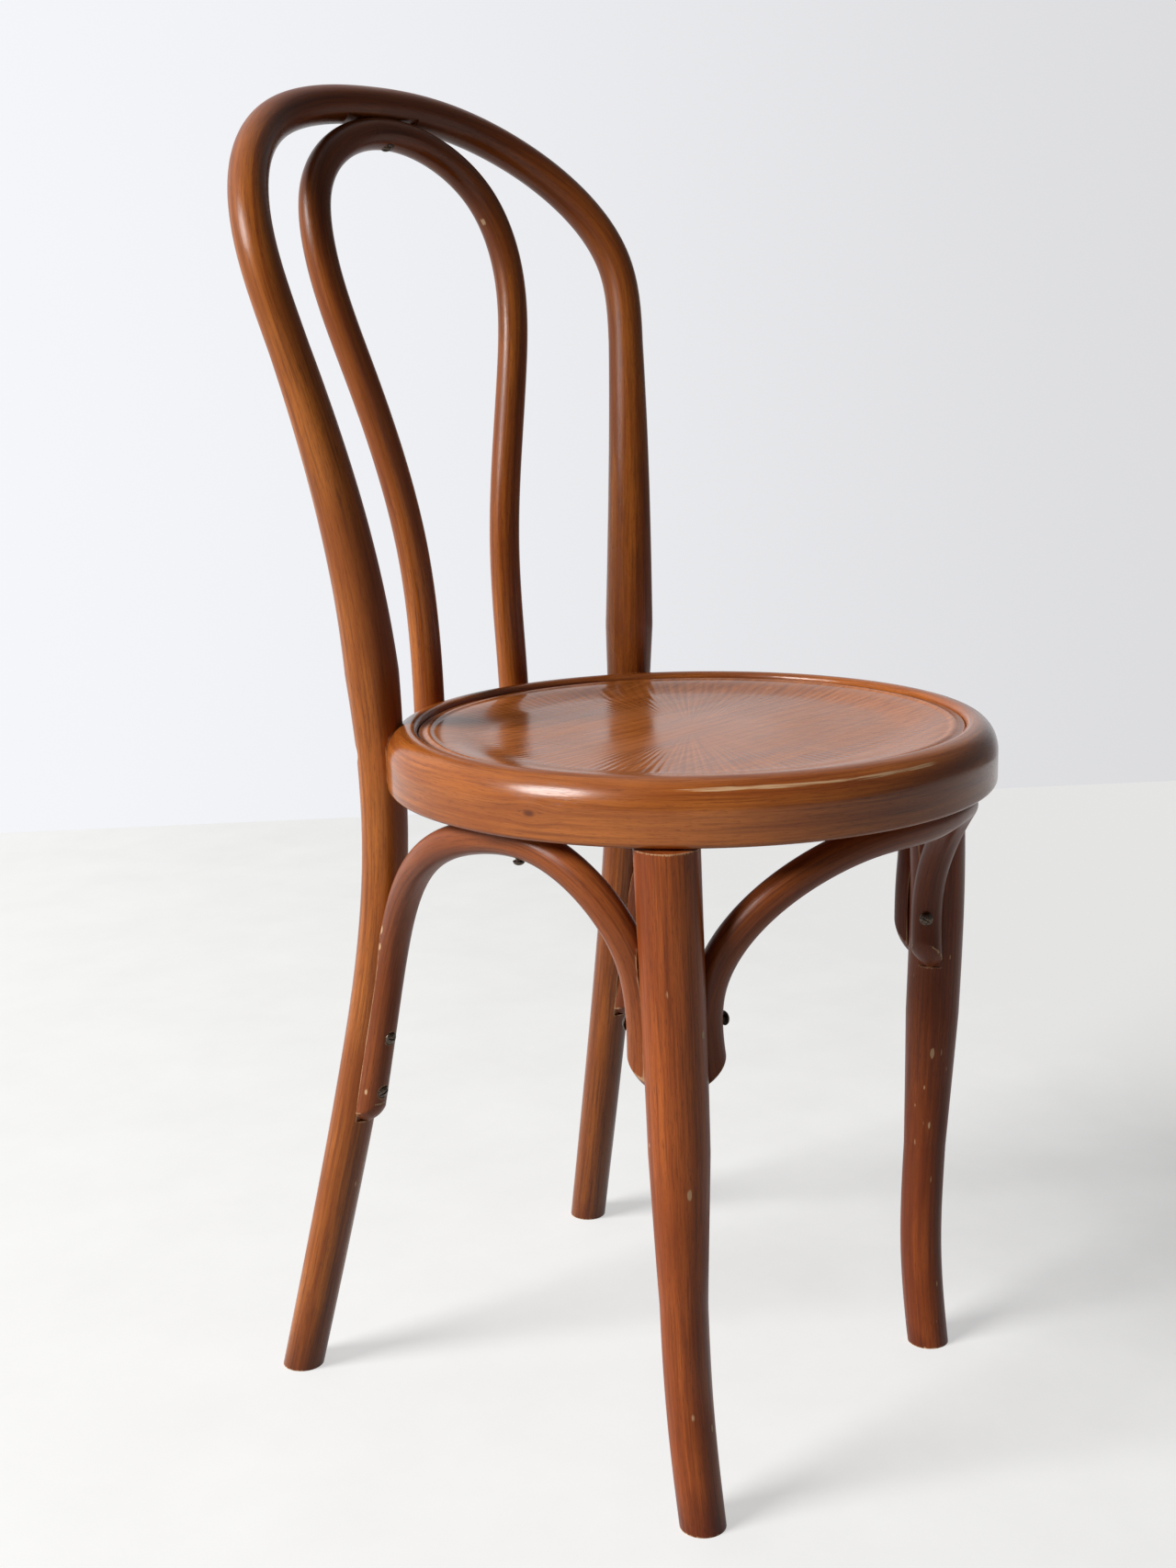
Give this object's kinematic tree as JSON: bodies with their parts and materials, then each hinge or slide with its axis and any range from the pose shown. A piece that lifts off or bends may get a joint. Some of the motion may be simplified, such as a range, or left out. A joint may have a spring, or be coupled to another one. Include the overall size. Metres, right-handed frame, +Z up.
{
  "type": "bentwood bistro chair",
  "caption": "Armless bentwood side chair: hooped back with a keyhole inner hoop, round dished seat, arched braces under the seat, slim round legs.",
  "frame": {"origin": "on the floor under the middle of the chair's outline", "axes": "+Z up, the chair faces -Y, so the sitter's right hand is at -X; the back is the same on both sides of the plane X = 0, and the ring and the front legs stand turned by 2.3 degrees about the seat's middle"},
  "size_m": [0.388, 0.4738, 0.8743],
  "materials": {
    "ring_wood": "beech stained amber-brown under a clear glossy lacquer",
    "panel_wood": "pressed veneer, stained amber-brown under a very glossy lacquer",
    "hoop_wood": "beech stained amber-brown under a clear glossy lacquer",
    "leg_wood": "beech stained amber-brown under a clear glossy lacquer",
    "brace_wood": "beech stained amber-brown under a clear glossy lacquer",
    "dark_steel": "steel gone brown with age",
    "bright_steel": "plain zinc-plated steel, a little dull"
  },
  "bodies": {
    "root": {"seat_ring": "ring_wood", "seat_panel": "panel_wood", "back_hoop": "hoop_wood", "inner_hoop": "hoop_wood", "front_leg_right": "leg_wood", "front_leg_left": "leg_wood", "brace_right": "brace_wood", "brace_left": "brace_wood", "brace_front": "brace_wood", "upright_bolts": "dark_steel", "upright_washers": "bright_steel", "upright_nuts": "bright_steel", "inner_hoop_screws": "dark_steel", "crown_screw": "dark_steel", "brace_leg_screws": "dark_steel", "brace_ring_screws": "dark_steel"}
  },
  "joints": []
}
